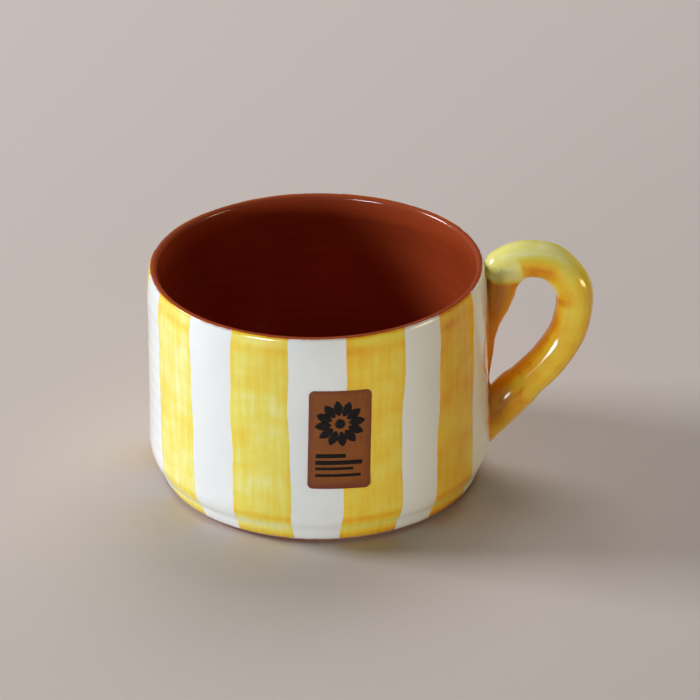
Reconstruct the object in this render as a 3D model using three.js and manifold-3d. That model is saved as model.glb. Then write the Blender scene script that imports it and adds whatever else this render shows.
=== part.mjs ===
// A low, wide, hand-thrown earthenware mug with a rolled coil handle.
//
// Millimetres, +Z up. The origin is the middle of the flat foot, on the surface the mug
// stands on, and the handle points along +X. Azimuths are measured from +X towards +Y.
//
// The mug is built in the order a potter builds it: a thrown clay body, a coil of clay for
// the handle, a pad of soft clay round each of its ends, glaze coats over all of them,
// brushed stripes over the white glaze, and a paper sticker on top. The handle takes the
// place of the tenth stripe, with a short stroke of yellow on the wall between its ends.

import * as THREE from 'three';
import { mergeVertices } from 'three/addons/utils/BufferGeometryUtils.js';
import Module from 'manifold-3d';

const wasm = await Module();
wasm.setup();

// ---------------------------------------------------------------- driving dimensions

const MUG_HEIGHT = 66.6; // surface it stands on to the top of the lip
const WALL_RADIUS = 50; // widest part of the glazed wall, just above the heel
const NECK_RADIUS = 49; // glazed wall under the lip
const FOOT_RADIUS = 44.4; // flat underside
const INNER_RADIUS = 46; // glazed inside of the wall
const FLOOR_HEIGHT = 6; // glazed inside floor
const FLOOR_CORNER = 10; // round between the floor and the wall, inside

const LIP_RADIUS = 1.3; // round of the lip, half of its thickness
const LIP_CENTRE = 46.9; // from the axis to the middle of the lip
const WHITE_TOP = MUG_HEIGHT - 1.4; // the white glaze stops here, the clear one starts
const WHITE_BOTTOM = 0.8; // the white glaze stops short of the foot

const GLAZE = 0.4; // thickness of a glaze coat
const GAP = 0.12; // space left between two pieces that touch
const SEAM = 0.3; // space between the edges of the two glazes

const STRIPE_PLACES = 10; // round the wall, the handle takes one of them
const STRIPE_WIDTH = 20.5; // degrees of azimuth
const STRIPE_THICKNESS = 0.15;
const HANDLE_STROKE = { width: 17, height: 34, corner: 7, azimuth: 0, z: 38, tilt: 0 };

const COIL_RADIUS = 4.95; // clay of the handle, without its glaze
const COIL_SIDES = 14;
const COIL_STEPS = 30;

const STICKER = { width: 17.8, height: 30.9, corner: 1.5, azimuth: -83.2, z: 34.8, tilt: -1.9 };
const STICKER_THICKNESS = 0.15;

const TURN_SEGMENTS = 48; // facets round every turned piece
const CURVE_POINTS = 3; // points on each curve of a turned outline

// ------------------------------------------------------------------------ materials

const clay = { color: 0x9c4a2c, roughness: 0.8, metalness: 0 };
const clearGlaze = { color: 0x93391d, roughness: 0.12, metalness: 0 };
const whiteGlaze = { color: 0xe4e6e2, roughness: 0.15, metalness: 0 };
const yellowGlaze = { color: 0xe6cc4a, roughness: 0.15, metalness: 0 };
const kraftPaper = { color: 0xa06540, roughness: 0.6, metalness: 0 };

// ------------------------------------------------------------------ geometry helpers

const degrees = THREE.MathUtils.degToRad;

/** A closed three.js geometry as a solid that can be cut and joined. */
function toSolid(geometry) {
  const bare = geometry.clone();
  bare.deleteAttribute('normal');
  bare.deleteAttribute('uv');
  const merged = mergeVertices(bare);
  return new wasm.Manifold(
    new wasm.Mesh({
      numProp: 3,
      vertProperties: new Float32Array(merged.attributes.position.array),
      triVerts: new Uint32Array(merged.index.array),
    }),
  );
}

/** A solid back as a geometry. */
function toGeometry(solid) {
  const mesh = solid.getMesh();
  const geometry = new THREE.BufferGeometry();
  geometry.setAttribute('position', new THREE.BufferAttribute(mesh.vertProperties, 3));
  geometry.setIndex(new THREE.BufferAttribute(mesh.triVerts, 1));
  geometry.computeVertexNormals();
  return geometry;
}

/** Moves an open outline sideways by a distance: positive is into the clay. */
function inset(outline, distance) {
  return outline.map((point, i) => {
    const before = outline[Math.max(i - 1, 0)];
    const after = outline[Math.min(i + 1, outline.length - 1)];
    const along = after.clone().sub(before).normalize();
    return new THREE.Vector2(point.x - along.y * distance, point.y + along.x * distance);
  });
}

/** A closed loop that follows an outline, between two depths under the glazed surface. */
function layer(outline, outerDepth, innerDepth) {
  return [...inset(outline, outerDepth), ...inset(outline, innerDepth).reverse()];
}

/** Turns an outline of (radius, height) points about Z, with facets centred on +X. */
function turned(outline) {
  const first = outline[0];
  const last = outline[outline.length - 1];
  const closed = first.x < 1e-6 && last.x < 1e-6 ? outline : [...outline, first];
  const geometry = new THREE.LatheGeometry(closed, TURN_SEGMENTS);
  geometry.rotateX(Math.PI / 2);
  geometry.rotateZ(Math.PI / TURN_SEGMENTS);
  return geometry;
}

// ------------------------------------------------------------------- turned outlines

/** The glazed outside, from the foot up to where the white glaze stops. */
function outsideOutline() {
  const path = new THREE.Path();
  path.moveTo(FOOT_RADIUS + 1.2, WHITE_BOTTOM);
  path.quadraticCurveTo(WALL_RADIUS - 2.7, 2.2, WALL_RADIUS - 2.3, 4.4);
  path.bezierCurveTo(WALL_RADIUS - 2, 6.2, WALL_RADIUS, 8, WALL_RADIUS, 13);
  path.bezierCurveTo(WALL_RADIUS, 25, NECK_RADIUS + 0.3, 42, NECK_RADIUS, 58);
  path.quadraticCurveTo(NECK_RADIUS - 0.1, 62, LIP_CENTRE + LIP_RADIUS, WHITE_TOP);
  return path.getPoints(CURVE_POINTS);
}

/** The glazed lip and inside, from under the lip over it and down to the floor's middle. */
function insideOutline() {
  const lipHeight = MUG_HEIGHT - LIP_RADIUS;
  const cornerHeight = FLOOR_HEIGHT + FLOOR_CORNER;
  const path = new THREE.Path();
  path.moveTo(LIP_CENTRE + LIP_RADIUS, lipHeight + SEAM);
  path.absarc(LIP_CENTRE, lipHeight, LIP_RADIUS, degrees(10), Math.PI, false);
  path.bezierCurveTo(LIP_CENTRE - LIP_RADIUS, 58, INNER_RADIUS, 50, INNER_RADIUS, 40);
  path.lineTo(INNER_RADIUS, cornerHeight);
  path.absarc(INNER_RADIUS - FLOOR_CORNER, cornerHeight, FLOOR_CORNER, 0, -Math.PI / 2, true);
  path.lineTo(0, FLOOR_HEIGHT);
  return path.getPoints(CURVE_POINTS);
}

const outside = outsideOutline();
const inside = insideOutline();

/** A solid that fills the mug's outside, grown by a distance from the clay and the lip. */
function filledMug(distance) {
  const wall = inset(outside, GLAZE + GAP - distance);
  const lip = LIP_CENTRE + LIP_RADIUS + distance;
  const top = MUG_HEIGHT + 5;
  const bottom = new THREE.Vector2(0, wall[0].y);
  const lipLine = [WHITE_TOP + SEAM / 2, top].map((z) => new THREE.Vector2(lip, z));
  return toSolid(turned([bottom, ...wall, ...lipLine, new THREE.Vector2(0, top)]));
}

// ---------------------------------------------------------------------------- handle

/** Centreline of the coil: out of the wall under the lip, up, round and down to the heel. */
function handleLine() {
  const points = [
    [46, 53.4],
    [50, 59.2],
    [54.4, 64.3],
    [61.5, 66.9],
    [69.9, 63.9],
    [74, 53.8],
    [71.2, 41.6],
    [64.4, 31.7],
    [56.2, 23.2],
    [45, 12.2],
  ];
  return new THREE.CatmullRomCurve3(points.map(([x, z]) => new THREE.Vector3(x, 0, z)));
}

/** The coil, grown by a distance. */
function coilSolid(growth) {
  const section = new THREE.Shape();
  section.absarc(0, 0, COIL_RADIUS + growth, 0, 2 * Math.PI, false);
  const geometry = new THREE.ExtrudeGeometry(section, {
    steps: COIL_STEPS,
    curveSegments: COIL_SIDES / 2,
    extrudePath: handleLine(),
    bevelEnabled: false,
  });
  return toSolid(geometry);
}

/** A smeared pad of clay round one end of the coil, grown by a distance. */
function padSolid({ x, z, depth, width, height, lean }, growth) {
  const geometry = new THREE.SphereGeometry(1, 16, 10);
  geometry.rotateX(Math.PI / 2);
  geometry.scale(depth + growth, width + growth, height + growth);
  geometry.rotateY(degrees(lean));
  geometry.translate(x, 0, z);
  return toSolid(geometry);
}

const UPPER_PAD = { x: 50, z: 51.6, depth: 5.9, width: 4.7, height: 12.5, lean: 9 };
const LOWER_PAD = { x: 49.2, z: 17.4, depth: 5.4, width: 6.2, height: 10.6, lean: -6 };

/** Coil and pads together, grown by a distance: the space that the handle takes. */
function handleSolid(growth) {
  return coilSolid(growth).add(padSolid(UPPER_PAD, growth)).add(padSolid(LOWER_PAD, growth));
}

const wallAndGap = filledMug(GAP);
const handleAndGap = handleSolid(2 * GAP + GLAZE);

// ---------------------------------------------------------------------------- pieces

/** The thrown body: flat foot, wall, lip and floor, in one piece of clay. */
function mugBody() {
  const depth = GLAZE + GAP;
  const outline = [
    new THREE.Vector2(0, 0),
    new THREE.Vector2(FOOT_RADIUS, 0),
    ...inset(outside, depth),
    ...inset(inside, depth),
  ];
  return turned(outline);
}

function handleCoil() {
  return toGeometry(coilSolid(0).subtract(wallAndGap));
}

function luting(pad) {
  return toGeometry(padSolid(pad, 0).subtract(coilSolid(GAP)).subtract(wallAndGap));
}

function handleGlaze() {
  const skin = handleSolid(GAP + GLAZE).subtract(handleSolid(GAP));
  return toGeometry(skin.subtract(wallAndGap));
}

function outerGlaze() {
  const coat = toSolid(turned(layer(outside, 0, GLAZE)));
  return toGeometry(coat.subtract(handleAndGap));
}

function innerGlaze() {
  return turned([...inset(inside, 0), ...inset(inside, GLAZE).reverse()]);
}

/** A wedge with its edge on the axis, to cut one stripe out of a ring. */
function stripeWedge(azimuth) {
  const reach = 2 * WALL_RADIUS;
  const half = degrees(STRIPE_WIDTH / 2);
  const shape = new THREE.Shape();
  shape.moveTo(0, 0);
  shape.lineTo(reach * Math.cos(azimuth - half), reach * Math.sin(azimuth - half));
  shape.lineTo(reach * Math.cos(azimuth + half), reach * Math.sin(azimuth + half));
  const geometry = new THREE.ExtrudeGeometry(shape, { depth: MUG_HEIGHT, bevelEnabled: false });
  return toSolid(geometry);
}

/** A rounded rectangle pushed outwards from the axis, to cut a patch out of a ring. */
function patchCutter({ width, height, corner, azimuth, z, tilt }) {
  const right = width / 2 - corner;
  const top = height / 2 - corner;
  const shape = new THREE.Shape();
  shape.absarc(right, top, corner, 0, Math.PI / 2, false);
  shape.absarc(-right, top, corner, Math.PI / 2, Math.PI, false);
  shape.absarc(-right, -top, corner, Math.PI, 1.5 * Math.PI, false);
  shape.absarc(right, -top, corner, 1.5 * Math.PI, 2 * Math.PI, false);
  const geometry = new THREE.ExtrudeGeometry(shape, {
    depth: 2 * WALL_RADIUS,
    curveSegments: 4,
    bevelEnabled: false,
  });
  geometry.rotateZ(degrees(tilt));
  geometry.rotateX(Math.PI / 2);
  geometry.translate(0, 0, z);
  geometry.rotateZ(degrees(azimuth + 90));
  return toSolid(geometry);
}

/** The thin ring that every brushed stroke is cut from. */
function strokeRing() {
  return toSolid(turned(layer(outside, -GAP - STRIPE_THICKNESS, -GAP)));
}

function stripe(place) {
  const azimuth = (place * 2 * Math.PI) / STRIPE_PLACES;
  return toGeometry(strokeRing().intersect(stripeWedge(azimuth)));
}

function handleStroke() {
  const patch = strokeRing().intersect(patchCutter(HANDLE_STROKE));
  return toGeometry(patch.subtract(handleAndGap));
}

function sticker() {
  const depth = 2 * GAP + STRIPE_THICKNESS;
  const ring = toSolid(turned(layer(outside, -depth - STICKER_THICKNESS, -depth)));
  return toGeometry(ring.intersect(patchCutter(STICKER)));
}

// ---------------------------------------------------------------------------- the mug

const mug = new THREE.Group();

function addPiece(name, geometry, look) {
  const mesh = new THREE.Mesh(geometry, new THREE.MeshStandardMaterial(look));
  mesh.name = name;
  mug.add(mesh);
}

addPiece('mug_body', mugBody(), clay);
addPiece('handle_coil', handleCoil(), clay);
addPiece('upper_handle_luting', luting(UPPER_PAD), clay);
addPiece('lower_handle_luting', luting(LOWER_PAD), clay);
addPiece('outer_white_glaze', outerGlaze(), whiteGlaze);
addPiece('inner_clear_glaze', innerGlaze(), clearGlaze);
addPiece('handle_yellow_glaze', handleGlaze(), yellowGlaze);
addPiece('handle_stroke', handleStroke(), yellowGlaze);
for (let place = 1; place < STRIPE_PLACES; place += 1) {
  addPiece(`stripe_${place}`, stripe(place), yellowGlaze);
}
addPiece('sticker', sticker(), kraftPaper);

export default mug;
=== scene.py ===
"""Looks of the hand-painted earthenware mug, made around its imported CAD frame.

Lengths are millimetres while shapes are made, and metres from make_mesh on. The mug's axis
is Z, the handle points along +X, and azimuths are measured from +X towards +Y.
"""

import math

import bmesh
import bpy
import numpy as np
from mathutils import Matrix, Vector


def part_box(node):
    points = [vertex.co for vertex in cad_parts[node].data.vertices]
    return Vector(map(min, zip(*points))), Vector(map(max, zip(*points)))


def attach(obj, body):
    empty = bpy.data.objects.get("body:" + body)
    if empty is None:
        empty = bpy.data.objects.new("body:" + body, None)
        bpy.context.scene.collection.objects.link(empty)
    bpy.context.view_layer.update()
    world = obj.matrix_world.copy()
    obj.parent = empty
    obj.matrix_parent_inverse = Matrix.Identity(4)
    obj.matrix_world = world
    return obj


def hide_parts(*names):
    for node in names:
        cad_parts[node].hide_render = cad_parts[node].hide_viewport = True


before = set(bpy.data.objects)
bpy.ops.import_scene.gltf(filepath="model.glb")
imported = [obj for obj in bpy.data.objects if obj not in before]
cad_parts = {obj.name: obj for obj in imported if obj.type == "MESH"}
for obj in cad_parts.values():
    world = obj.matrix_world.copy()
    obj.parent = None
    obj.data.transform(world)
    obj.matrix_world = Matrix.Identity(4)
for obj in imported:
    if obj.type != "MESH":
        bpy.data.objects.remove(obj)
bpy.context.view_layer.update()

MM = 0.001
CAD_FACETS = 48  # the turned CAD pieces are polygons with this many sides

# ------------------------------------------------------------- driving dimensions, in mm

MUG_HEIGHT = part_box("inner_clear_glaze")[1].z / MM
WALL_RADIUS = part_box("outer_white_glaze")[1].y / MM / math.cos(math.pi / CAD_FACETS)
FOOT_RADIUS = WALL_RADIUS - 5.6
NECK_RADIUS = WALL_RADIUS - 1.0
INNER_RADIUS = WALL_RADIUS - 4.0
FLOOR_HEIGHT = 6.0  # of the inside floor, at its edge
FLOOR_DIP = 0.5  # how much lower its middle is
FLOOR_CORNER = 10.0  # radius between the floor and the inside wall
FOOT_RING = 5.5  # width of the ring that the mug stands on
FOOT_RECESS = 0.45  # depth of the hollow inside that ring

LIP_RADIUS = 1.1  # of the clay that shows
LIP_CENTRE = WALL_RADIUS - 3.05
LIP_HEIGHT = MUG_HEIGHT - LIP_RADIUS
SHOULDER_RADIUS = LIP_RADIUS + 0.15  # of the white glaze where it turns over the lip
SHOULDER_END = 42  # where the white stops on its shoulder, in degrees above level
WHITE_TOP = LIP_HEIGHT + SHOULDER_RADIUS * math.sin(math.radians(SHOULDER_END))
WHITE_BOTTOM = 1.3
WHITE_COAT = 0.3
CLEAR_COAT = 0.3
BODY_GAP = 0.04  # between the clay body and the coats over it
WHITE_OVERLAP = 2.6  # how far the glazed clay of the lip runs down under the white
OVERLAP_GAP = 0.06

LEAN = -0.8  # how far the lip's centre has drifted sideways while the clay was wet
TILT = 0.008  # rise of the lip towards the handle, mm per mm
BACK_TILT = 0.012  # rise of the lip towards the back
SETTLE = 0.25  # how much lower the lip sits than it was drawn

COLUMNS = 480  # round every turned surface
ROW_STEP = 0.55  # along the outside
LINING_STEP = 0.7  # along the inside

STROKE_HEIGHT = 0.03  # how far the brushed colour stands on the white
STROKE_SINK = 0.03  # and how far its back is sunk in the white
# Each brushed stripe: azimuth of its middle, width, and how far its top leans from its
# foot, all in degrees, and how much deeper its colour is. On the hidden stripes that is
# how much colour the brush held; on the four that face the camera it is painted light
# and shade, paler on the lit left and deeper on the shaded right. The handle takes the
# place of the tenth.
STRIPES = {
    "stripe_1": (36.5, 20.6, 1.5, 0.20),
    "stripe_2": (71.4, 19.8, -1.0, 0.05),
    "stripe_3": (107.2, 21.0, 0.6, 0.12),
    "stripe_4": (141.2, 20.2, 2.0, 0.0),
    "stripe_5": (175.0, 20.0, 5.0, 0.15),
    "stripe_6": (213.7, 20.8, -2.4, -0.14),
    "stripe_7": (250.4, 20.7, -0.7, -0.04),
    "stripe_8": (288.4, 21.0, 3.2, 0.15),
    "stripe_9": (323.2, 20.5, 4.5, 0.30),
}

STICKER = {
    "width": 17.9,
    "height": 30.9,
    "corner": 1.6,
    "azimuth": -83.2,
    "z": 35.2,
    "tilt": -1.9,
}
STICKER_GAP = 0.02  # between the brushed colour and the paper
STICKER_PAPER = 0.12
STICKER_CURL = 0.25  # how far its lower right corner has lifted
CURL_REACH = 6.0  # how far from the corner the lifting starts
INK = 0.02
INK_SINK = 0.01  # how far the ink's back is sunk in the paper

TAU = 2 * math.pi
random = np.random.default_rng(20)


# ------------------------------------------------------------------------ small helpers


def bezier(points, count):
    """Points of a Bezier curve of any degree, without its last point."""
    t = np.linspace(0, 1, count, endpoint=False)[:, None]
    layer = [np.array(p, float)[None, :] for p in points]
    while len(layer) > 1:
        layer = [a * (1 - t) + b * t for a, b in zip(layer, layer[1:])]
    return layer[0]


def arc(centre, radius, start, end, count):
    """Points of an arc, angles in degrees, without its last point."""
    angle = np.radians(np.linspace(start, end, count, endpoint=False))
    return np.array(centre) + radius * np.stack([np.cos(angle), np.sin(angle)], 1)


def smooth_step(low, high, x):
    t = np.clip((x - low) / (high - low), 0, 1)
    return t * t * (3 - 2 * t)


def bump(value, middle, width):
    """A smooth hump that is 1 at the middle."""
    return np.exp(-(((value - middle) / width) ** 2))


def wander(lengths, size):
    """A smooth random function: a sum of sine waves of the given lengths."""
    lengths = np.array(lengths, float)
    phases = random.uniform(0, TAU, len(lengths))

    def value(x):
        angles = TAU * np.asarray(x, float)[..., None] / lengths + phases
        return np.sin(angles).sum(-1) * size / len(lengths)

    return value


class Line:
    """A turned outline: radius and height along its own length, with outward normals."""

    def __init__(self, points):
        points = np.asarray(points, float)
        steps = np.linalg.norm(np.diff(points, axis=0), axis=1)
        self.along = np.concatenate([[0], np.cumsum(steps)])
        self.length = self.along[-1]
        self.points = points
        tangent = np.gradient(points, self.along, axis=0)
        tangent /= np.linalg.norm(tangent, axis=1)[:, None]
        self.normals = np.stack([tangent[:, 1], -tangent[:, 0]], 1)

    def at(self, s, out=0.0):
        """Radius and height at length s, moved out along the normal. s may pass the ends."""
        inside = np.clip(s, 0, self.length)
        r, z, nr, nz = (
            np.interp(inside, self.along, column)
            for column in (*self.points.T, *self.normals.T)
        )
        past = s - inside
        return r + nr * out - nz * past, z + nz * out + nr * past

    def find(self, z):
        """Length along a rising outline where it reaches height z."""
        return np.interp(z, self.points[:, 1], self.along)


def warp(points):
    """The wet clay's drift: the lip leans and tilts, and the circle isn't quite round."""
    x, y, z = np.asarray(points, float).T
    share = z / MUG_HEIGHT
    azimuth = np.arctan2(y, x)
    swell = 0.0016 * np.cos(2 * azimuth + 0.7) + 0.001 * np.cos(3 * azimuth - 1.2)
    scale = 1 + swell * share
    rise = TILT * x + BACK_TILT * y - SETTLE
    return np.stack([x * scale + LEAN * share, y * scale, z + rise * share], 1)


def make_mesh(name, points, faces, material, attributes=(), weld=False):
    """A smooth mesh object from points in mm, bent by the clay's drift."""
    mesh = bpy.data.meshes.new(name)
    mesh.from_pydata((warp(points) * MM).tolist(), [], faces)
    for label, values in dict(attributes).items():
        layer = mesh.attributes.new(label, "FLOAT", "POINT")
        layer.data.foreach_set("value", np.asarray(values, np.float32).ravel())
    cleaned = bmesh.new()
    cleaned.from_mesh(mesh)
    if weld:
        bmesh.ops.remove_doubles(cleaned, verts=cleaned.verts, dist=1e-6)
    bmesh.ops.recalc_face_normals(cleaned, faces=cleaned.faces)
    cleaned.to_mesh(mesh)
    cleaned.free()
    mesh.polygons.foreach_set("use_smooth", [True] * len(mesh.polygons))
    mesh.materials.append(material)
    made = bpy.data.objects.new(name, mesh)
    bpy.context.scene.collection.objects.link(made)
    return made


def grid_faces(rows, columns, wrap_rows, wrap_columns, first=0):
    """Quads of a grid of points, numbered row by row."""
    i = np.arange(rows if wrap_rows else rows - 1)
    j = np.arange(columns if wrap_columns else columns - 1)
    i, j = (a.ravel() for a in np.meshgrid(i, j, indexing="ij"))
    up, over = (i + 1) % rows, (j + 1) % columns
    row, next_row = i * columns + first, up * columns + first
    return np.stack([row + j, row + over, next_row + over, next_row + j], 1).tolist()


def around(r, z, azimuth):
    return np.stack([r * np.cos(azimuth), r * np.sin(azimuth), z], -1)


# --------------------------------------------------------------------- turned outlines


def outside_points():
    """The outside of the glaze, from the foot up to the lip's outer shoulder."""
    heel = (WALL_RADIUS - 2.4, 4.6)
    widest = (WALL_RADIUS, 11.0)
    waist = (NECK_RADIUS + 0.4, 32.0)
    neck = (NECK_RADIUS, 57.0)
    lip = (LIP_CENTRE, LIP_HEIGHT)
    shoulder = arc(lip, SHOULDER_RADIUS, 12, 75, 14)
    return np.concatenate(
        [
            bezier([(FOOT_RADIUS + 0.6, 0.2), (WALL_RADIUS - 3.1, 1.4), heel], 16),
            bezier([heel, (WALL_RADIUS - 2.0, 6.3), (WALL_RADIUS - 0.1, 7.4), widest], 24),
            bezier([widest, (WALL_RADIUS, 16), (NECK_RADIUS + 0.55, 22), waist], 30),
            bezier([waist, (NECK_RADIUS + 0.3, 40), (NECK_RADIUS + 0.05, 50), neck], 30),
            bezier([neck, (NECK_RADIUS - 0.05, 61.5), shoulder[0]], 20),
            shoulder,
        ]
    )


def inside_points():
    """The clear-glazed face, from under the white's edge over the lip and down to the axis."""
    corner_height = FLOOR_HEIGHT + FLOOR_CORNER
    floor_middle = FLOOR_HEIGHT - FLOOR_DIP
    lip = (LIP_CENTRE, LIP_HEIGHT)
    lip_inside = LIP_CENTRE - LIP_RADIUS
    straight = (INNER_RADIUS, 40)  # the wall is straight from here down
    start = outside.find(WHITE_TOP - WHITE_OVERLAP)
    under_white = np.array(outside.at(start, -WHITE_COAT - OVERLAP_GAP))
    lip_start = arc(lip, LIP_RADIUS, 18, 19, 1)[0]
    return np.concatenate(
        [
            bezier([under_white, (under_white + lip_start) / 2 + (0.1, 0.3), lip_start], 8),
            arc(lip, LIP_RADIUS, 18, 176, 36),
            bezier(
                [
                    (lip_inside, LIP_HEIGHT + 0.05),
                    (lip_inside - 0.05, 58),
                    (INNER_RADIUS, 50),
                    straight,
                ],
                40,
            ),
            bezier([straight, (INNER_RADIUS, corner_height)], 30),
            arc((INNER_RADIUS - FLOOR_CORNER, corner_height), FLOOR_CORNER, 0, -90, 30),
            bezier([(INNER_RADIUS - FLOOR_CORNER, FLOOR_HEIGHT), (0.02, floor_middle)], 60),
            [(0.0, floor_middle)],
        ]
    )


outside = Line(outside_points())
inside = Line(inside_points())


def outside_ripple(azimuth, s):
    """The outer wall's hand-thrown unevenness."""
    spiral = np.sin(TAU * s / 5.1 + azimuth + 0.7 * np.sin(azimuth * 2))
    slow = np.sin(3 * azimuth + s / 14) + np.sin(5 * azimuth - s / 9 + 1)
    slow += np.sin(2 * azimuth + s / 22)
    fade = smooth_step(3, 12, s)
    return (0.025 * spiral + 0.04 * slow) * fade


def inside_ripple(azimuth, s):
    """Throwing rings, which the potter leaves inside."""
    spiral = np.sin(TAU * s / 4.3 - azimuth + 0.5 * np.sin(azimuth * 3 + 1))
    slow = np.sin(2 * azimuth + s / 12) + np.sin(4 * azimuth - s / 8 + 2)
    fade = smooth_step(5, 16, s) * smooth_step(0, 8, inside.length - s)
    return (0.03 * spiral + 0.05 * slow) * fade


CIRCLE = TAU * WALL_RADIUS
edge_drift = wander([CIRCLE / 3, CIRCLE / 7, CIRCLE / 12], 0.10)
edge_nibble = wander([CIRCLE / k for k in (31, 47, 73)], 0.05)


def white_edge(azimuth):
    """Where the white's wandering upper edge lies, along the outline."""
    turn = azimuth * WALL_RADIUS
    return outside.find(WHITE_TOP) + edge_drift(turn) + edge_nibble(turn)


def on_wall(azimuth, s, out=0.0):
    """Points on the glazed outside, moved out from it, and over the white's rounded edge."""
    half = WHITE_COAT / 2
    past = np.clip(s - white_edge(azimuth), 0, half)
    drop = half - np.sqrt(half**2 - past**2)
    r, z = outside.at(s, out - drop + outside_ripple(azimuth, s))
    return around(r, z, azimuth)


# ---------------------------------------------------------------------------- materials


class Look:
    """A material's node tree, with short ways to add the nodes that these looks share."""

    def __init__(self, name, roughness, specular=0.5):
        self.material = bpy.data.materials.new(name)
        self.material.use_nodes = True
        self.tree = self.material.node_tree
        self.shader = self.tree.nodes["Principled BSDF"]
        self.shader.inputs["Roughness"].default_value = roughness
        self.shader.inputs["Specular IOR Level"].default_value = specular
        self.place = self.node("ShaderNodeTexCoord").outputs["Object"]

    def node(self, kind, **settings):
        made = self.tree.nodes.new(kind)
        for key, value in settings.items():
            setattr(made, key, value)
        return made

    def link(self, value, socket):
        if isinstance(value, bpy.types.NodeSocket):
            self.tree.links.new(value, socket)
        else:
            socket.default_value = value

    def math(self, operation, a, b=0.0, clamp=False):
        made = self.node("ShaderNodeMath", operation=operation, use_clamp=clamp)
        self.link(a, made.inputs[0])
        self.link(b, made.inputs[1])
        return made.outputs[0]

    def attribute(self, name):
        return self.node("ShaderNodeAttribute", attribute_name=name).outputs["Fac"]

    def vector(self, x, y, z=0.0):
        made = self.node("ShaderNodeCombineXYZ")
        for value, socket in zip((x, y, z), made.inputs):
            self.link(value, socket)
        return made.outputs[0]

    def stretch(self, source, scale):
        made = self.node("ShaderNodeMapping")
        self.link(source, made.inputs["Vector"])
        made.inputs["Scale"].default_value = scale
        return made.outputs[0]

    def noise(self, source, scale, detail=2.0, roughness=0.5):
        made = self.node("ShaderNodeTexNoise")
        self.link(source, made.inputs["Vector"])
        made.inputs["Scale"].default_value = scale
        made.inputs["Detail"].default_value = detail
        made.inputs["Roughness"].default_value = roughness
        return made.outputs["Fac"]

    def spots(self, source, scale):
        made = self.node("ShaderNodeTexVoronoi")
        self.link(source, made.inputs["Vector"])
        made.inputs["Scale"].default_value = scale
        return made.outputs["Distance"]

    def span(self, value, low, high, to_low=0.0, to_high=1.0):
        made = self.node("ShaderNodeMapRange")
        self.link(value, made.inputs["Value"])
        limits = {"From Min": low, "From Max": high, "To Min": to_low, "To Max": to_high}
        for key, number in limits.items():
            made.inputs[key].default_value = number
        return made.outputs["Result"]

    def ramp(self, value, stops):
        made = self.node("ShaderNodeValToRGB")
        self.link(value, made.inputs["Fac"])
        elements = made.color_ramp.elements
        while len(elements) < len(stops):
            elements.new(0.5)
        for element, (position, colour) in zip(elements, stops):
            element.position = position
            element.color = (*colour, 1)
        return made.outputs["Color"]

    def mix(self, share, a, b):
        made = self.node("ShaderNodeMix", data_type="RGBA")
        self.link(share, made.inputs["Factor"])
        for value, socket in ((a, made.inputs[6]), (b, made.inputs[7])):
            self.link(value if isinstance(value, bpy.types.NodeSocket) else (*value, 1), socket)
        return made.outputs[2]

    def colour(self, value):
        self.link(value, self.shader.inputs["Base Color"])

    def gloss(self, value):
        self.link(value, self.shader.inputs["Roughness"])

    def relief(self, height, depth):
        """Bump from a height in 0 to 1, depth in mm."""
        made = self.node("ShaderNodeBump")
        made.inputs["Distance"].default_value = depth * MM
        made.inputs["Strength"].default_value = 1.0
        self.link(height, made.inputs["Height"])
        self.link(made.outputs["Normal"], self.shader.inputs["Normal"])


def per_mm(number):
    """A noise scale, from features per millimetre to features per metre."""
    return number / MM


def white_glaze():
    """Thick glossy tin white, warmer where it thins over the clay, with a few pinholes."""
    look = Look("white_glaze", roughness=0.12)
    cloud = look.noise(look.place, per_mm(0.045), 3)
    thin = look.attribute("thin")
    white = look.mix(look.span(cloud, 0.35, 0.7), (0.80, 0.805, 0.78), (0.74, 0.75, 0.735))
    patchy = look.span(look.noise(look.place, per_mm(0.5), 2), 0.3, 0.7)
    edge = look.math("MULTIPLY", thin, patchy, True)
    white = look.mix(edge, white, (0.55, 0.36, 0.26))
    hole = look.span(look.spots(look.place, per_mm(0.16)), 0.02, 0.035, 1, 0)
    sparse = look.span(look.noise(look.place, per_mm(0.06), 1), 0.56, 0.6)
    hole = look.math("MULTIPLY", hole, sparse)
    look.colour(look.mix(hole, white, (0.34, 0.2, 0.13)))
    look.gloss(look.span(look.noise(look.place, per_mm(0.2), 4), 0.3, 0.75, 0.08, 0.2))
    peel = look.noise(look.place, per_mm(0.35), 2)
    look.relief(look.math("SUBTRACT", peel, hole), 0.035)
    return look.material


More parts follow.
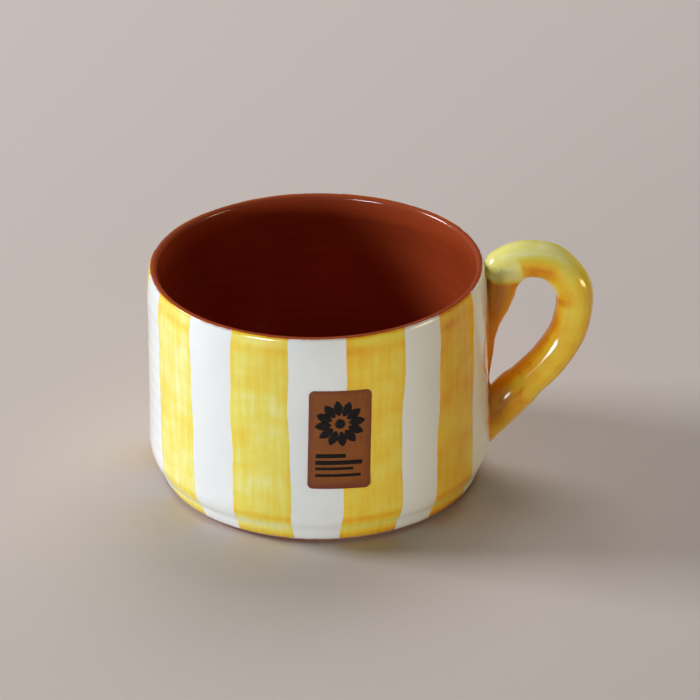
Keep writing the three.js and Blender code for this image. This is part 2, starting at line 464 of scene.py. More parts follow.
def yellow_glaze(name, shift, tint_and_shade):
    """Brushed yellow: streaked along the stroke, pale where thin, orange where it pools, with
    painted shade and painted highlights on the handle.
    """
    look = Look(name, roughness=0.13)
    across, along, pool_and_shading = (look.attribute(n) for n in ("across", "along", "pool_and_shading"))
    # The shifts choose different slices of the noise, so no two strokes look alike.
    lengthwise = look.vector(across, look.math("MULTIPLY", along, 0.07), shift)
    crosswise = look.vector(look.math("MULTIPLY", across, 0.3), along, shift + 5)
    streaks = look.noise(lengthwise, 0.55, 3, 0.6)
    hairs = look.noise(lengthwise, 3.2, 2)
    dabs = look.noise(crosswise, 0.13, 2)
    patches = look.noise(look.vector(across, along, shift + 3), 0.15, 3, 0.5)
    # On the handle the pooled colour also holds painted shade and painted highlights, not only
    # real pooling.
    ink = look.math("MULTIPLY", pool_and_shading, 0.5)
    for texture, weight in ((streaks, 0.5), (patches, 0.5), (dabs, 0.4), (hairs, 0.07)):
        ink = look.math("ADD", ink, look.math("MULTIPLY", texture, weight))
    # A deeper tint moves the whole stroke towards orange; on the stripes facing the camera and on
    # the handle it is partly painted light and shade.
    ink = look.math("SUBTRACT", ink, 0.405 - tint_and_shade)
    blot = look.noise(look.vector(across, along, shift + 11), 0.5, 3)
    blot = look.math("MULTIPLY", look.span(blot, 0.6, 0.75), look.math("MAXIMUM", pool_and_shading, 0.0))
    ink = look.math("ADD", ink, look.math("MULTIPLY", blot, 0.45), True)
    look.colour(
        look.ramp(
            ink,
            [
                (0.0, (0.85, 0.815, 0.39)),
                (0.25, (0.81, 0.70, 0.13)),
                (0.5, (0.82, 0.575, 0.05)),
                (0.75, (0.80, 0.42, 0.017)),
                (1.0, (0.69, 0.24, 0.008)),
            ],
        )
    )
    look.gloss(look.span(streaks, 0.3, 0.75, 0.09, 0.2))
    look.relief(look.math("ADD", streaks, look.math("MULTIPLY", hairs, 0.3)), 0.03)
    return look.material


def glazed_clay():
    """Clear glaze over red clay: deep, glossy, with throwing rings and clay specks."""
    look = Look("glazed_clay", roughness=0.16)
    rings = look.noise(look.stretch(look.place, (1, 1, 14)), per_mm(0.03), 3)
    cloud = look.noise(look.place, per_mm(0.06), 4, 0.6)
    body = look.mix(look.span(cloud, 0.3, 0.7), (0.42, 0.065, 0.0175), (0.35, 0.054, 0.0145))
    body = look.mix(look.span(rings, 0.45, 0.75, 0, 0.6), body, (0.46, 0.070, 0.019))
    speck = look.span(look.spots(look.place, per_mm(0.9)), 0.05, 0.12, 1, 0)
    sparse = look.span(look.noise(look.place, per_mm(0.4), 1), 0.55, 0.65)
    speck = look.math("MULTIPLY", speck, sparse)
    # Duller and a little darker at the lip.
    lip_duller = look.mix(look.attribute("lip"), body, (0.34, 0.060, 0.020))
    look.colour(look.mix(look.math("MULTIPLY", speck, 0.6), lip_duller, (0.12, 0.03, 0.012)))
    look.gloss(look.span(look.noise(look.place, per_mm(0.25), 3), 0.3, 0.75, 0.1, 0.24))
    look.relief(look.noise(look.place, per_mm(0.4), 3), 0.04)
    return look.material


def bare_clay():
    """Unglazed fired red clay: matt, grainy, with turning marks on the foot."""
    look = Look("bare_clay", roughness=0.85, specular=0.3)
    grain = look.noise(look.place, per_mm(1.6), 5, 0.7)
    cloud = look.noise(look.place, per_mm(0.07), 3)
    base = look.mix(look.span(cloud, 0.3, 0.7), (0.42, 0.16, 0.085), (0.34, 0.12, 0.06))
    look.colour(look.mix(look.span(grain, 0.35, 0.75), base, (0.5, 0.23, 0.13)))
    look.gloss(look.span(grain, 0.3, 0.7, 0.78, 0.95))
    look.relief(grain, 0.12)
    return look.material


def sticker_paper():
    """Smooth coppery brown paper, a little redder and darker towards its edges, most along its
    bottom, where that is a painted reflection.
    """
    look = Look("sticker_paper", roughness=0.45, specular=0.35)
    fibres = look.noise(look.stretch(look.place, (1, 1, 0.35)), per_mm(1.3), 4, 0.65)
    cloud = look.noise(look.place, per_mm(0.12), 2)
    paper = look.mix(look.span(fibres, 0.3, 0.7), (0.245, 0.072, 0.012), (0.19, 0.052, 0.009))
    paper = look.mix(look.span(cloud, 0.4, 0.7, 0, 0.5), paper, (0.28, 0.088, 0.015))
    look.colour(look.mix(look.attribute("edge"), paper, (0.16, 0.028, 0.014)))
    look.gloss(look.span(fibres, 0.3, 0.7, 0.36, 0.52))
    look.relief(fibres, 0.015)
    return look.material


def ink_black():
    look = Look("ink_black", roughness=0.5, specular=0.2)
    wear = look.noise(look.place, per_mm(1.1), 4, 0.7)
    lip_duller = look.span(wear, 0.62, 0.8, 0, 0.7)
    look.colour(look.mix(lip_duller, (0.008, 0.006, 0.005), (0.09, 0.035, 0.015)))
    look.gloss(look.span(wear, 0.3, 0.7, 0.32, 0.5))
    return look.material


def table_top():
    look = Look("table_top", roughness=0.7, specular=0.2)
    look.colour((0.62, 0.543, 0.494, 1))
    return look.material


# -------------------------------------------------------------------------- turned coats


def closed_coat(name, sections, azimuth, material, attributes):
    """A mesh from one closed section of (radius, height) per azimuth, stacked as rows."""
    r, z = sections
    rows, columns = r.shape
    points = around(r, z, azimuth[None, :]).reshape(-1, 3)
    faces = grid_faces(rows, columns, True, True)
    return make_mesh(name, points, faces, material, attributes, weld=True)


def make_white_coat():
    """The white coat: its upper edge wanders, is rounded, and stands over the bare lip."""
    azimuth = np.linspace(0, TAU, COLUMNS, endpoint=False)
    top = white_edge(azimuth)
    bottom = outside.find(WHITE_BOTTOM)
    bottom += wander([CIRCLE / 5, CIRCLE / 23, CIRCLE / 61], 0.2)(azimuth * WALL_RADIUS)
    rows = int(outside.length / ROW_STEP)
    rise = np.linspace(0, 1, rows)[:, None]
    bend = np.linspace(0, math.pi, 7)[1:-1, None]
    half = WHITE_COAT / 2
    face_s = bottom + (top - bottom) * rise
    top_s = top + half * np.sin(bend)
    top_out = -half + half * np.cos(bend)
    back_s = bottom + (top - bottom) * rise[::-8]
    bottom_s = bottom - half * np.sin(bend)
    s = np.concatenate([face_s, top_s, back_s, bottom_s])
    out = np.concatenate(
        [
            np.zeros_like(face_s),
            np.broadcast_to(top_out, top_s.shape),
            np.full_like(back_s, -WHITE_COAT),
            np.broadcast_to(top_out[::-1], bottom_s.shape),
        ]
    )
    thin = smooth_step(0.5, 0.0, top - s) + smooth_step(0.8, 0.1, s - bottom)
    sections = outside.at(s, out + outside_ripple(azimuth[None, :], s))
    return closed_coat("white_glaze", sections, azimuth, white, {"thin": np.clip(thin, 0, 1)})


def make_lining():
    """Clear-glazed clay over the lip and inside, as one coat down to the floor's middle."""
    azimuth = np.linspace(0, TAU, COLUMNS, endpoint=False)[None, :]
    rows = int(inside.length / LINING_STEP)
    s = np.linspace(0, inside.length, rows)[:, None] + 0 * azimuth
    back = s[::-6]
    ripple = inside_ripple(azimuth, s)
    face = inside.at(s, ripple)
    behind = inside.at(back, inside_ripple(azimuth, back) - CLEAR_COAT)
    sections = [np.maximum(np.concatenate([a, b]), 0) for a, b in zip(face, behind)]
    lip = bump(np.concatenate([s, back]), 5.0, 2.2)
    return closed_coat("glazed_inside", sections, azimuth.ravel(), clay_glazed, {"lip": lip})


def make_body():
    """The thrown body under the glazes: its foot and underside are the bare clay that shows."""
    azimuth = np.linspace(0, TAU, COLUMNS, endpoint=False)[None, :]
    depth = WHITE_COAT + BODY_GAP
    ring = FOOT_RADIUS - FOOT_RING
    foot = [(0, FOOT_RECESS), (ring - 1.0, FOOT_RECESS), (ring, 0.0), (FOOT_RADIUS, 0.0)]
    under = np.concatenate([bezier([a, b], n) for a, b, n in zip(foot, foot[1:], (70, 5, 14))])
    wall_s = np.linspace(outside.find(0.4), outside.find(WHITE_TOP - 1), 60)
    lining_s = np.linspace(3, inside.length, 60)
    wall = np.stack(outside.at(wall_s, -depth), 1)
    hollow = np.stack(inside.at(lining_s, -CLEAR_COAT - BODY_GAP), 1)
    line = np.concatenate([under, [foot[-1]], wall, hollow])
    r = np.maximum(line[:, :1], 0) + 0 * azimuth
    height = line[:, 1:]
    recess = (height > 0.2) & (height < 0.6) & (r > 1)
    marks = 0.03 * np.sin(TAU * line[:, :1] / 1.7 + azimuth)
    z = height + np.where(recess, marks, 0)
    return closed_coat("clay_body", (r, z), azimuth.ravel(), clay_bare, {})


# ------------------------------------------------------------------------ brushed stripes


def skin_faces(rows, columns, first=0):
    """Faces of a thin closed skin: a grid, the same grid behind it, and the rim between."""
    count = rows * columns
    faces = grid_faces(rows, columns, False, False, first)
    faces += [quad[::-1] for quad in grid_faces(rows, columns, False, False, first + count)]
    rim = [*range(columns), *range(2 * columns - 1, count, columns)]
    rim += [*range(count - 2, count - columns - 1, -1), *range(count - 2 * columns, 0, -columns)]
    front = [first + number for number in rim]
    for a, b in zip(front, front[1:] + front[:1]):
        faces.append([b, a, a + count, b + count])
    return faces


def skin_points(azimuth, s, low, high):
    """Points of a skin on the wall: its face, then its back."""
    return np.concatenate([on_wall(azimuth, s, out).reshape(-1, 3) for out in (high, low)])


def make_skin(name, azimuth, s, low, high, material, attributes):
    """A thin closed skin on the wall, between two heights over the glaze."""
    doubled = {key: np.tile(np.asarray(value).ravel(), 2) for key, value in attributes.items()}
    points = skin_points(azimuth, s, low, high)
    return make_mesh(name, points, skin_faces(*s.shape), material, doubled)


def pooled(z, side):
    """Where a stroke's colour gathers, by height: its sides, the heel's turn and the lip."""
    sides = 0.13 * smooth_step(0.78, 1.0, side)
    heel = 0.45 * bump(z, 9.2, 1.2) - 0.5 * bump(z, 6.0, 1.1)
    foot = 0.6 * smooth_step(4.4, 2.4, z)
    neck = 0.35 * bump(z, 62.4, 1.5)
    lip = 0.9 * smooth_step(WHITE_TOP - 0.6, WHITE_TOP, z)
    return sides + heel + foot + neck + lip


def make_stripe(name, middle, width, lean, material):
    """One brush stroke from the lip to the foot, with wandering edges."""
    rows, columns = 140, 46
    share = np.linspace(0, 1, columns)[None, :]
    bend = np.linspace(0.25, 1.35, 5)  # how far round the white's edge, in radians
    rise = np.concatenate([np.linspace(0, 1, rows), np.ones_like(bend)])[:, None]
    over = np.concatenate([np.zeros(rows), WHITE_COAT / 2 * np.sin(bend)])[:, None]
    z = rise * MUG_HEIGHT
    # The stroke's middle and edges wander by degrees, over wave lengths in mm.
    centre = middle + lean * (rise - 0.5) + wander([95, 41], 0.3)(z)
    edges = [wander([37, 19], 0.30)(z) + wander([7.3, 4.1], 0.05)(z) for _ in range(2)]
    left = centre - width / 2 + edges[0]
    right = centre + width / 2 + edges[1]
    azimuth = np.radians(left + (right - left) * share)
    bottom = outside.find(WHITE_BOTTOM + 0.25) + wander([9, 4], 0.15)(share * width)
    s = bottom + (white_edge(azimuth) - bottom) * rise + over
    side = np.abs(2 * share - 1) + 0 * rise
    height = STROKE_HEIGHT * (1.4 * smooth_step(1.0, 0.9, side) - 0.4)
    attributes = {
        "across": azimuth * WALL_RADIUS,
        "along": s,
        "pool_and_shading": np.clip(pooled(outside.at(s)[1], side), -0.5, 1.3),
    }
    return make_skin(name, azimuth, s, -STROKE_SINK, height, material, attributes)


def make_handle_stroke(material):
    """The painted patch on the wall between the handle's ends, shaped like a leaf."""
    rows, columns = 90, 40
    bottom, height = 22.0, 36.0
    rise = np.linspace(0, 1, rows)[:, None]
    z = bottom + rise * height
    front = 3 + 12.6 * np.exp(-(np.abs((z - 41.5) / 9.5) ** 2.6))
    back = 3 + 9.5 * np.exp(-(np.abs((z - 40.0) / 11.0) ** 2.6))
    share = np.linspace(0, 1, columns)[None, :]
    left = -front + wander([23, 9], 0.4)(z)
    right = back + wander([21, 8], 0.4)(z)
    azimuth = np.radians(left + (right - left) * share)
    s = outside.find(z) + 0 * azimuth
    side = np.abs(2 * share - 1) + 0 * rise
    attributes = {
        "across": azimuth * WALL_RADIUS,
        "along": s,
        "pool_and_shading": 0.35 + 0.6 * smooth_step(0.75, 1.0, side),
    }
    name = "brushed_handle_stroke"
    return make_skin(name, azimuth, s, -STROKE_SINK, STROKE_HEIGHT, material, attributes)


# ----------------------------------------------------------------------------- sticker


def label_point(x, y):
    """A point of the sticker's own plane, as azimuth and length along the outline."""
    tilt = math.radians(STICKER["tilt"])
    across = x * math.cos(tilt) - y * math.sin(tilt)
    up = x * math.sin(tilt) + y * math.cos(tilt)
    azimuth = math.radians(STICKER["azimuth"]) + across / WALL_RADIUS
    return azimuth, outside.find(STICKER["z"]) + up


def label_lift(x, y):
    """How far the sticker stands off the brushed colour: most at its lower right corner."""
    reach = np.hypot(x - STICKER["width"] / 2, y + STICKER["height"] / 2)
    return STICKER_CURL * smooth_step(CURL_REACH, 0, reach)


def make_sticker():
    """The paper, with round corners."""
    half_width, half_height = STICKER["width"] / 2, STICKER["height"] / 2
    corner = STICKER["corner"]
    rows, columns = 97, 57
    y = np.linspace(-half_height, half_height, rows)
    ends = corner * np.sin(np.linspace(0, math.pi / 2, 8))
    y = np.concatenate([y, half_height - corner + ends, corner - half_height - ends])
    y = np.unique(y)[:, None]
    past = np.maximum(np.abs(y) - (half_height - corner), 0)
    reach = half_width - corner + np.sqrt(np.maximum(corner**2 - past**2, 0))
    x = reach * np.linspace(-1, 1, columns)[None, :]
    y = y + 0 * x
    side = np.minimum(half_width - np.abs(x), half_height - np.abs(y))
    # Darker and redder near the edges; the band along the bottom is a painted reflection of the
    # surroundings.
    edge = 0.55 * smooth_step(2.2, 0, side) + 0.45 * smooth_step(-half_height + 4, -half_height, y)
    low = STROKE_HEIGHT + STICKER_GAP + label_lift(x, y)
    attributes = {"edge": np.clip(edge, 0, 1)}
    return make_skin("sticker", *label_point(x, y), low, low + STICKER_PAPER, paper, attributes)


def petal(angle, start, end, width):
    """A leaf-shaped petal that points away from the flower's middle, as grids of x and y."""
    t = np.linspace(0.02, 0.98, 15)[:, None]
    side = np.linspace(-1, 1, 7)[None, :]
    along = start + (end - start) * t + 0 * side
    across = width / 2 * np.sin(math.pi * t) ** 0.75 * side
    return (
        along * math.cos(angle) - across * math.sin(angle),
        along * math.sin(angle) + across * math.cos(angle),
    )


def disc(radius):
    """The flower's middle."""
    angle = np.linspace(0, TAU, 40)[:, None]
    rings = np.linspace(0.02, radius, 4)[None, :]
    return rings * np.cos(angle), rings * np.sin(angle)


def bar(left, right, middle, height):
    """A level bar, in columns about half a millimetre wide."""
    x = np.linspace(left, right, max(4, int((right - left) / 0.5)))[None, :]
    y = np.linspace(middle - height / 2, middle + height / 2, 4)[:, None]
    return x + 0 * y, y + 0 * x


def make_print():
    """A plain round flower over four plain bars, inked on the sticker."""
    petals, first_petal, flower_height = 12, 0.13, 5.2
    shapes = []
    for k in range(petals):
        shapes.append(petal(TAU * k / petals + first_petal, start=2.4, end=7.3, width=2.7))
    shapes.append(disc(radius=1.5))
    shapes = [(x, y + flower_height) for x, y in shapes]
    bar_left = -6.8
    # Each bar: the height of its middle, its length and its own height.
    bars = [(-5.0, 8.6, 1.3), (-7.15, 13.4, 1.3), (-9.05, 10.8, 0.9), (-11.2, 13.0, 0.9)]
    for middle, length, height in bars:
        shapes.append(bar(bar_left, bar_left + length, middle, height))
    points, faces, count = [], [], 0
    for x, y in shapes:
        low = STROKE_HEIGHT + STICKER_GAP + STICKER_PAPER - INK_SINK + label_lift(x, y)
        points.append(skin_points(*label_point(x, y), low, low + INK))
        faces += skin_faces(*x.shape, count)
        count += len(points[-1])
    return make_mesh("sticker_print", np.concatenate(points), faces, ink)


# ------------------------------------------------------------------------------ handle

# Centreline of the coil in the handle's plane, as (x, z): from its upper end, pressed on
# the wall under the lip, over the top, round and down to the heel.
COIL_POINTS = [
    (53.6, 64.4),
    (57.2, 66.3),
    (61.5, 66.9),
    (67.9, 65.4),
    (73.3, 59.3),
    (74.3, 52.8),
    (72.4, 43.6),
    (67.0, 34.7),
    (60.9, 28.3),
    (54.2, 21.6),
    (46.5, 13.4),
]
# Clay smeared under the coil's two ends, as (x, z, radius), from the coil down the wall.
UPPER_SMEAR = [
    (53.6, 60.5, 4.5),
    (53.0, 57.0, 4.3),
    (51.8, 52.5, 3.8),
    (50.3, 47.0, 2.6),
    (49.7, 42.0, 1.8),
    (49.6, 37.2, 1.4),
    (49.2, 32.0, 1.0),
    (48.8, 27.0, 0.6),
]
LOWER_SMEAR = [
    (57.5, 24.8, 4.8),
    (54.0, 20.4, 5.0),
    (51.2, 16.4, 4.5),
    (49.2, 12.4, 3.3),
    (47.9, 9.0, 2.1),
    (46.9, 6.6, 0.9),
]
UPPER_FLATNESS = 1.0  # each smear is this much wider than deep
LOWER_FLATNESS = 1.15
CREASE_FILLET = 0.5  # radius between the coil and its smears, where the crease is sharp
CROOK_FILLET = 3.3  # and what is added to it where the crease is filled
WALL_FILLET = 1.2  # radius between the handle and the wall
FILLET_SINK = 0.12  # how far the fillet's thin edge dips under the wall's glaze
FILLET_REACH = 2.0  # how far from the handle the fillet may spread
HANDLE_SINK = 1.0  # how far the handle runs on inside the wall
HANDLE_LOW = (WALL_RADIUS - 3.0, -11.0, 1.5)  # corners of a box round the whole handle
HANDLE_HIGH = (81.0, 11.0, 75.0)
HANDLE_STEP = 0.42  # cell of the grid that its surface is found on
TEXTURE_RADIUS = 5  # for the streaks' place round the coil


def spline(points, count):
    """Catmull-Rom curve through the points, evenly spaced along its length."""
    p = np.array(points, float)
    p = np.concatenate([[2 * p[0] - p[1]], p, [2 * p[-1] - p[-2]]])
    t = np.linspace(0, 1, 40, endpoint=False)[:, None]
    parts = []
    for a, b, c, d in zip(p, p[1:], p[2:], p[3:]):
        square, cube = 2 * a - 5 * b + 4 * c - d, 3 * b - a - 3 * c + d
        parts.append(0.5 * (2 * b + (c - a) * t + square * t**2 + cube * t**3))
    curve = np.concatenate([*parts, p[-2:-1]])
    steps = np.concatenate([[0], np.cumsum(np.linalg.norm(np.diff(curve, axis=0), axis=1))])
    even = np.linspace(0, steps[-1], count)
    return np.stack([np.interp(even, steps, column) for column in curve.T], 1), even


def chain_distance(points, centres, radii):
    """Distance to a chain of round-ended tapering rods, and the place along the chain."""
    best = np.full(len(points), 1e9)
    place = np.zeros(len(points))
    for i in range(len(centres) - 1):
        a, b = centres[i], centres[i + 1]
        along = b - a
        t = np.clip((points - a) @ along / (along @ along), 0, 1)
        gap = np.linalg.norm(points - a - t[:, None] * along, axis=1)
        value = gap - (radii[i] + t * (radii[i + 1] - radii[i]))
        closer = value < best
        best[closer] = value[closer]
        place[closer] = (i + t)[closer]
    return best, place


def soft_min(a, b, radius):
    """The lesser of two distances, with the corner between them filled to a radius."""
    h = np.clip(0.5 + 0.5 * (b - a) / radius, 0, 1)
    return b + (a - b) * h - radius * h * (1 - h)


COIL_LINE, COIL_LENGTHS = spline(COIL_POINTS, 150)
COIL_SWAY = 0.3 * np.sin(COIL_LENGTHS / 17 + 0.4)
COIL_CENTRES = np.stack([COIL_LINE[:, 0], COIL_SWAY, COIL_LINE[:, 1]], 1)
COIL_RADIUS = 5.35
COIL_RADII = (
    COIL_RADIUS
    + 0.15 * smooth_step(28, 40, COIL_LENGTHS)
    - 0.35 * smooth_step(60, 72, COIL_LENGTHS)
    + 0.04 * np.sin(COIL_LENGTHS / 3.7)
    + 0.15 * bump(COIL_LENGTHS, 0, 4.5)
)


def wall_distance(points):
    """Distance outside the glazed wall and lip, negative in the clay."""
    radius = np.hypot(points[:, 0], points[:, 1])
    wall = np.interp(points[:, 2], outside.points[:, 1], outside.points[:, 0])
    return np.maximum(radius - wall, points[:, 2] - (LIP_HEIGHT - 0.5))


def smear_distance(points, smear, flatness):
    x, z, radii = np.array(smear, float).T
    centres = np.stack([x, 0 * x, z], 1)
    return chain_distance(points * (1, 1 / flatness, 1), centres, radii)[0]


def coil_frame(points, place):
    """Length along the coil, and angle round it: 0 outward, negative towards the front."""
    index = np.clip(place, 0, len(COIL_CENTRES) - 1.001)
    whole = index.astype(int)
    part = (index - whole)[:, None]
    centre = COIL_CENTRES[whole] * (1 - part) + COIL_CENTRES[whole + 1] * part
    along = COIL_CENTRES[whole + 1] - COIL_CENTRES[whole]
    along /= np.linalg.norm(along, axis=1)[:, None]
    outward = np.cross(along, (0, 1, 0))
    offset = points - centre
    angle = np.arctan2(offset[:, 1], (offset * outward).sum(1))
    run = np.interp(place, np.arange(len(COIL_LENGTHS)), COIL_LENGTHS)
    return run, angle


def coil_ridges(run, angle):
    """Long soft edges that the fingers left along the coil, as extra radius."""
    lower = 0.30 * bump(angle, -2.15, 0.30) * smooth_step(38, 55, run)
    upper = 0.22 * bump(angle, -2.35, 0.32) * smooth_step(9, 16, run) * smooth_step(44, 34, run)
    back = 0.20 * bump(angle, 2.0, 0.35) * smooth_step(20, 40, run)
    return lower + upper + back


def handle_parts(points):
    """Distances to the coil and to its smears, and the length and angle on the coil."""
    coil, place = chain_distance(points, COIL_CENTRES, COIL_RADII)
    run, angle = coil_frame(points, place)
    coil = coil - coil_ridges(run, angle)
    upper = smear_distance(points, UPPER_SMEAR, UPPER_FLATNESS)
    lower = smear_distance(points, LOWER_SMEAR, LOWER_FLATNESS)
    return coil, np.minimum(upper, lower), run, angle


def handle_distance(points):
    """The handle as one smooth glazed form, with fillets where it meets the wall."""
    coil, smears, _, _ = handle_parts(points)
    # The crease is sharp near the wall under the upper end, and filled everywhere else.
    crook = smooth_step(55.5, 59.5, points[:, 0]) + smooth_step(34, 28, points[:, 2])
    body = soft_min(coil, smears, CREASE_FILLET + CROOK_FILLET * np.clip(crook, 0, 1))
    wall = wall_distance(points)
    blended = soft_min(body, wall + FILLET_SINK, WALL_FILLET)
    return np.maximum(np.maximum(blended, body - FILLET_REACH), -(wall + HANDLE_SINK))


def surface_net(distance, low, high, step):
    """Vertices and quads of the surface where the distance is zero, by naive surface nets."""
    counts = np.ceil((np.array(high) - low) / step).astype(int) + 1
    axes = [low[a] + step * np.arange(counts[a]) for a in range(3)]
    nodes = np.stack(np.meshgrid(*axes, indexing="ij"), -1)
    values = distance(nodes.reshape(-1, 3)).reshape(counts)
    cells = tuple(counts - 1)
    total = np.zeros((*cells, 3))
    hits = np.zeros(cells)
    for axis in range(3):
        others = [a for a in range(3) if a != axis]
        for corner in ((0, 0), (0, 1), (1, 0), (1, 1)):
            start = [0, 0, 0]
            start[others[0]], start[others[1]] = corner
            end = list(start)
            end[axis] = 1
            a = values[tuple(slice(o, o + n) for o, n in zip(start, cells))]
            b = values[tuple(slice(o, o + n) for o, n in zip(end, cells))]
            crossing = (a < 0) != (b < 0)
            t = np.where(crossing, a / np.where(crossing, a - b, 1), 0)
            for k in range(3):
                total[..., k] += crossing * (start[k] + (t if k == axis else 0))
            hits += crossing
    active = hits > 0
    index = np.full(cells, -1)
    index[active] = np.arange(active.sum())
    origin = np.stack(np.nonzero(active), 1)
    vertices = np.array(low) + step * (origin + total[active] / hits[active][:, None])
    quads = []
    for axis in range(3):
        u, v = (axis + 1) % 3, (axis + 2) % 3
        inner = [slice(1, -1)] * 3
        inner[axis] = slice(0, -1)
        ahead = list(inner)
        ahead[axis] = slice(1, None)
        a, b = values[tuple(inner)] < 0, values[tuple(ahead)] < 0
        for flip in (False, True):
            found = (a & ~b) if flip else (~a & b)
            place = np.stack(np.nonzero(found), 1)
            place[:, u] += 1
            place[:, v] += 1
            ring = []
            for du, dv in ((-1, -1), (0, -1), (0, 0), (-1, 0)):
                cell = place.copy()
                cell[:, u] += du
                cell[:, v] += dv
                ring.append(index[tuple(cell.T)])
            quad = np.stack(ring, 1)
            quads.append(quad if flip else quad[:, ::-1])
    return vertices, np.concatenate(quads)


def settle(points, distance, rounds=3):
    """Moves points onto the surface where the distance is zero."""
    small, longest = 0.02, 0.2
    for _ in range(rounds):
        value = distance(points)
        ahead = [distance(points + small * axis) for axis in np.eye(3)]
        slope = np.stack([(further - value) / small for further in ahead], 1)
        size = np.maximum((slope**2).sum(1), 0.05)
        points = points - np.clip(value / size, -longest, longest)[:, None] * slope
    return points


def joint_pool_and_shade(points, coil, smears):
    """Deeper colour at the handle's joints: the crease, the wedge and the fillets, partly pooled
    glaze and partly painted shade.
    """
    x, _, z = points.T
    near = smooth_step(3.0, 0.8, np.minimum(coil, smears))
    # The crease, the wedge under the coil's upper end and the fillet along the wall darken partly
    # as pooled glaze and partly as painted shade; the wedge is deepest in its middle.
    crease = bump(coil - smears, 0, 0.8) * near * smooth_step(36, 42, z)
    wedge = smooth_step(0.2, 0.9, coil - smears) * smooth_step(30, 40, z)
    wedge *= 0.75 + 0.25 * bump(x, 51.8, 1.5)
    fillet = smooth_step(1.4, 0.2, wall_distance(points))
    return 0.6 * crease + wedge + 0.45 * fillet


def coil_pool_and_shading(run, angle):
    """Deeper colour along the coil, by length from its upper end and angle round it: pooled glaze,
    with painted shade on the underside and a painted highlight strip.
    """
    # The underside, facing the wall, is deeper partly as pooled glaze and partly as painted shade.
    underside = bump(np.abs(angle), math.pi, 0.8) * smooth_step(4.5, 6, run)
    # The strip taken out of it on the inner right side is a painted highlight.
    underside *= 1 - 1.6 * smooth_step(15, 18, run) * smooth_step(28, 25, run)
    spot = bump(run, 29.0, 1.4) * bump(angle, -2.3, 0.4)
    band = bump(angle, -1.8 - 0.45 * smooth_step(14, 26, run), 0.42)
    band *= smooth_step(4.8, 6.4, run) * smooth_step(30, 27, run)
    beside_ridge = bump(angle, -1.75, 0.16) * smooth_step(48, 60, run)
    outer = bump(angle, 0, 0.5) * smooth_step(24, 34, run) * smooth_step(60, 48, run)
    root = smooth_step(58, 66, run) * smooth_step(-0.6, -1.4, angle)
    lower_half = smooth_step(20, 40, run)
    pool_and_shading = 0.85 * underside + 0.4 * spot + 0.5 * band + 0.3 * beside_ridge
    return pool_and_shading + 0.45 * outer + 0.2 * root + 0.15 * lower_half


def painted_top_highlight(coil, smears, run, angle):
    """A painted highlight: paler colour on the top of the coil's upper end, where the light falls.
    """
    above = np.maximum(smooth_step(1.75, 1.1, np.abs(angle - 0.2)), smooth_step(5.6, 4.8, run))
    return smooth_step(26, 10, run) * above * smooth_step(0.4, -0.4, coil - smears)


def make_handle():
    """The whole glazed handle, from its surface net, with its pooled colour, painted shade and
    painted highlight.
    """
    points, quads = surface_net(handle_distance, HANDLE_LOW, HANDLE_HIGH, HANDLE_STEP)
    points = settle(points, handle_distance)
    coil, smears, run, angle = handle_parts(points)
    # Deeper colour at the joints and along the coil, partly pooled glaze and partly painted shade.
    pool_and_shading = joint_pool_and_shade(points, coil, smears) + coil_pool_and_shading(run, angle)
    # Paler top: a painted highlight.
    pool_and_shading -= 0.85 * painted_top_highlight(coil, smears, run, angle)
    across = angle * TEXTURE_RADIUS
    attributes = {"across": across, "along": run, "pool_and_shading": np.clip(pool_and_shading, -0.8, 1.2)}
    return make_mesh("handle", points, quads.tolist(), yellow_handle, attributes)


# ----------------------------------------------------------------------- make the mug

white = white_glaze()
clay_glazed = glazed_clay()
clay_bare = bare_clay()
paper = sticker_paper()
ink = ink_black()
# The handle's deeper tint is partly painted shade.
yellow_handle = yellow_glaze("yellow_handle", 250.0, 0.22)


def add(piece, slot, *nodes):
    """Puts a piece on the one body and hides the CAD nodes it stands for; the slot is not used."""
    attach(piece, "root")
    if nodes:
        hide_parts(*nodes)


add(make_body(), "earthenware", "mug_body")
add(make_lining(), "clear_glaze", "inner_clear_glaze")
add(make_white_coat(), "white_glaze", "outer_white_glaze")
for number, (stripe_name, (middle, width, lean, tint_and_shade)) in enumerate(STRIPES.items()):
    colour = yellow_glaze("yellow_" + stripe_name, 20.0 * number, tint_and_shade)
    stripe = make_stripe("brushed_" + stripe_name, middle, width, lean, colour)
    add(stripe, "yellow_glaze", stripe_name)
add(make_handle_stroke(yellow_handle), "yellow_glaze", "handle_stroke")
add(
    make_handle(),
    "yellow_glaze",
    "handle_yellow_glaze",
    "handle_coil",
    "upper_handle_luting",
    "lower_handle_luting",
)
add(make_sticker(), "sticker_paper", "sticker")
add(make_print(), "sticker_paper")

# --------------------------------------------------------------- floor, light and camera


def make_floor():
    """A plain floor, in metres."""
    half = 3.0
    mesh = bpy.data.meshes.new("floor")
    corners = [(-half, -half, 0), (half, -half, 0), (half, half, 0), (-half, half, 0)]
    mesh.from_pydata(corners, [], [(0, 1, 2, 3)])
    mesh.materials.append(table_top())
    floor = bpy.data.objects.new("floor", mesh)
    bpy.context.scene.collection.objects.link(floor)


LAMP_DISTANCE = 1.6
LAMP_TARGET = (0, 0, 0.03)


def aim(thing, target):
    thing.rotation_euler = (Vector(target) - thing.location).to_track_quat("-Z", "Y").to_euler()


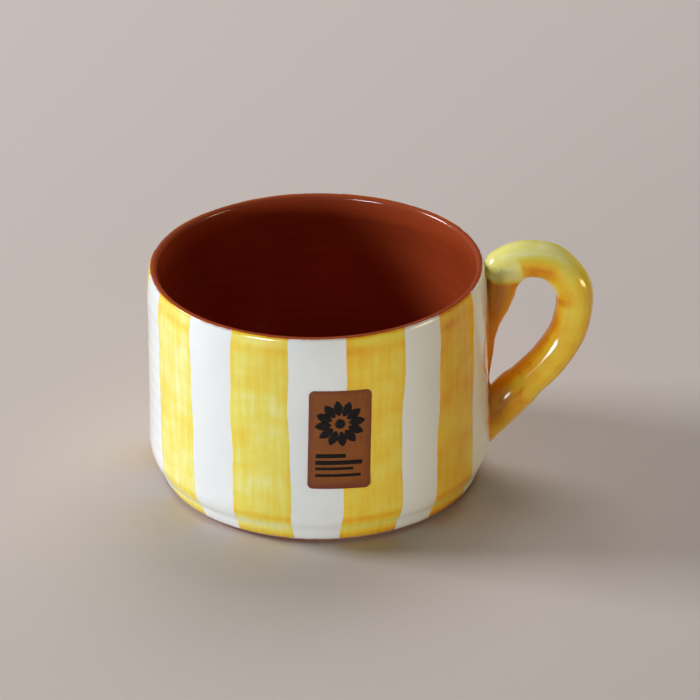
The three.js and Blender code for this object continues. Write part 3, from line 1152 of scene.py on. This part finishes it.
def add_light(name, azimuth, elevation, power, colour, width=0.5, height=0.5):
    """A soft lamp that looks at the mug, sizes in metres, power in watts.

    Azimuth 0 is the camera's side and 90 is +X, both angles in degrees.
    """
    data = bpy.data.lights.new(name, "AREA")
    data.shape = "RECTANGLE"
    data.size = width
    data.size_y = height
    data.energy = power
    data.color = colour
    lamp = bpy.data.objects.new(name, data)
    bpy.context.scene.collection.objects.link(lamp)
    a, e = math.radians(azimuth), math.radians(elevation)
    level = Vector((math.sin(a), -math.cos(a), 0)) * math.cos(e)
    lamp.location = LAMP_DISTANCE * (level + Vector((0, 0, math.sin(e))))
    aim(lamp, LAMP_TARGET)
    return lamp


def make_camera():
    """A long lens from the front, looking down on the mug."""
    distance, elevation = 0.9566, math.radians(27.2)
    pan, rise = 0.0092, 0.0044  # how far it looks to the right of the mug's middle, and above
    lens = 168.4
    middle = Vector((0, 0, MUG_HEIGHT * MM / 2))
    data = bpy.data.cameras.new("camera")
    data.lens = lens
    data.sensor_width = 36
    data.clip_start, data.clip_end = 0.05, 20
    camera = bpy.data.objects.new("camera", data)
    bpy.context.scene.collection.objects.link(camera)
    camera.location = middle + distance * Vector((0, -math.cos(elevation), math.sin(elevation)))
    forward = (middle - camera.location).normalized()
    right = forward.cross(Vector((0, 0, 1))).normalized()
    up = right.cross(forward)
    look = forward + pan * right + rise * up
    camera.rotation_euler = look.to_track_quat("-Z", "Y").to_euler()
    bpy.context.scene.camera = camera


def make_world():
    world = bpy.data.worlds.new("soft_room")
    world.use_nodes = True
    background = world.node_tree.nodes["Background"]
    background.inputs["Color"].default_value = (0.9, 1.0, 0.8, 1)
    background.inputs["Strength"].default_value = 0.055
    bpy.context.scene.world = world


make_floor()
add_light("front_window", -36, 2, power=22.0, colour=(0.88, 0.94, 1.0), height=0.25)
add_light("side_window", -99, 28, power=19.5, colour=(0.90, 0.93, 1.0))
high_back = add_light("high_back", 165, 55, 14.0, (0.95, 0.95, 1.0), width=1.1, height=1.1)
high_back.visible_glossy = False  # its reflection would whiten the front of the lip
add_light("warm_side", 72, 3, power=8.5, colour=(1.0, 0.80, 0.42), height=0.3)
make_world()
make_camera()
bpy.context.scene.view_settings.view_transform = "Standard"
